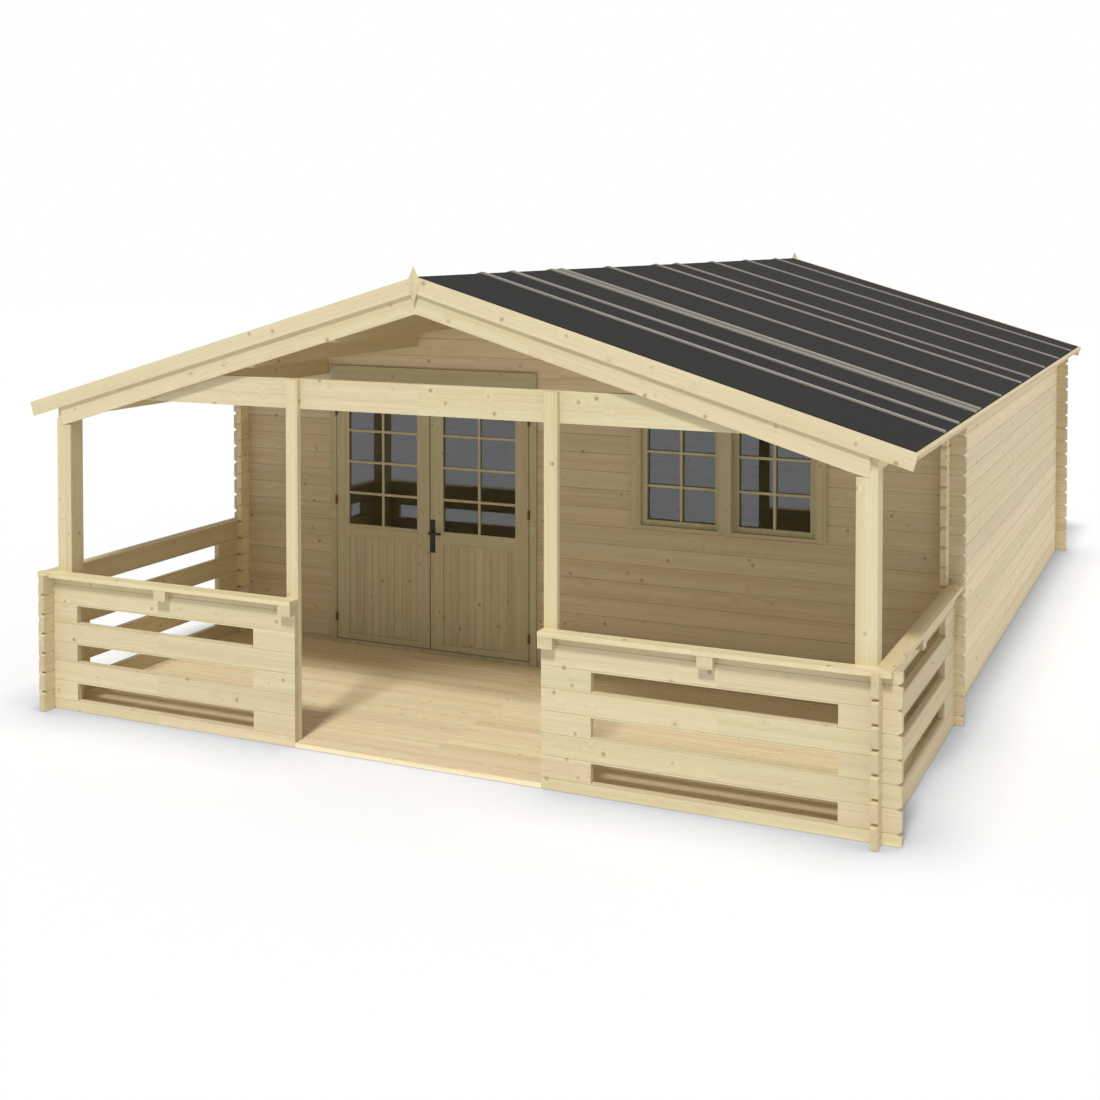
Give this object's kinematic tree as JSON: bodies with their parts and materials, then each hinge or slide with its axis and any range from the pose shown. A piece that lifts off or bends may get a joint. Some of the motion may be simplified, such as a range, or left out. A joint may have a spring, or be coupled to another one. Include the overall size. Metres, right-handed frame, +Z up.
{
  "type": "garden shed",
  "caption": "Wooden garden cabin of crossed logs with a covered porch, slotted log railing, low gable roof in dark felt, double glazed door and a barred window.",
  "frame": {"origin": "middle of the whole footprint, on the ground", "axes": "+X to the right of a person facing the porch, +Y from the porch towards the back wall, +Z up"},
  "size_m": [5.944, 8.494, 2.992],
  "materials": {
    "pine_logs": "bare planed pine logs",
    "planed_pine": "bare planed pine boards",
    "roof_boards": "bare pine roof boards",
    "floor_boards": "bare pine floor boards",
    "roofing_felt": "mineral-faced roofing felt",
    "window_glass": "clear glass",
    "black_metal": "satin black",
    "hinge_steel": "dull bronzed steel"
  },
  "bodies": {
    "cabin": {"back_finial": "planed_pine", "back_wall": "pine_logs", "cabin_floor": "floor_boards", "door_frame": "planed_pine", "frame_hinges": "hinge_steel", "front_finial": "planed_pine", "front_gable": "pine_logs", "front_wall_left": "pine_logs", "front_wall_right": "pine_logs", "left_back_gable_board": "planed_pine", "left_back_verge_board": "planed_pine", "left_battens": "planed_pine", "left_corner_post": "planed_pine", "left_eave_board": "planed_pine", "left_eave_plate": "pine_logs", "left_front_cap": "planed_pine", "left_front_gable_board": "planed_pine", "left_front_railing": "pine_logs", "left_front_verge_board": "planed_pine", "left_middle_post": "planed_pine", "left_purlins": "planed_pine", "left_roof_deck": "roof_boards", "left_roof_felt": "roofing_felt", "left_side_cap": "planed_pine", "left_side_railing": "pine_logs", "left_wall": "pine_logs", "left_window_sash": "planed_pine", "porch_floor": "floor_boards", "ridge_purlin": "planed_pine", "right_back_gable_board": "planed_pine", "right_back_verge_board": "planed_pine", "right_battens": "planed_pine", "right_corner_post": "planed_pine", "right_eave_board": "planed_pine", "right_eave_plate": "pine_logs", "right_front_cap": "planed_pine", "right_front_gable_board": "planed_pine", "right_front_railing": "pine_logs", "right_front_verge_board": "planed_pine", "right_middle_post": "planed_pine", "right_purlins": "planed_pine", "right_roof_deck": "roof_boards", "right_roof_felt": "roofing_felt", "right_side_cap": "planed_pine", "right_side_railing": "pine_logs", "right_wall": "pine_logs", "right_window_sash": "planed_pine", "tie_beam": "planed_pine", "window_frame": "planed_pine", "window_glass": "window_glass"},
    "left_door": {"left_door_leaf": "planed_pine", "left_door_glass": "window_glass", "left_door_hinges": "hinge_steel"},
    "right_door": {"right_door_leaf": "planed_pine", "right_door_glass": "window_glass", "right_door_hinges": "hinge_steel", "door_handle": "black_metal"}
  },
  "joints": [
    {"name": "left_door_swing", "type": "hinge", "parent": "cabin", "child": "left_door", "pos_m": [-1.89, -2.036, 1.032], "axis": [0, 0, -1], "range_deg": [0, 110]},
    {"name": "right_door_swing", "type": "hinge", "parent": "cabin", "child": "right_door", "pos_m": [-0.248, -2.036, 1.032], "axis": [0, 0, 1], "range_deg": [0, 110]}
  ]
}
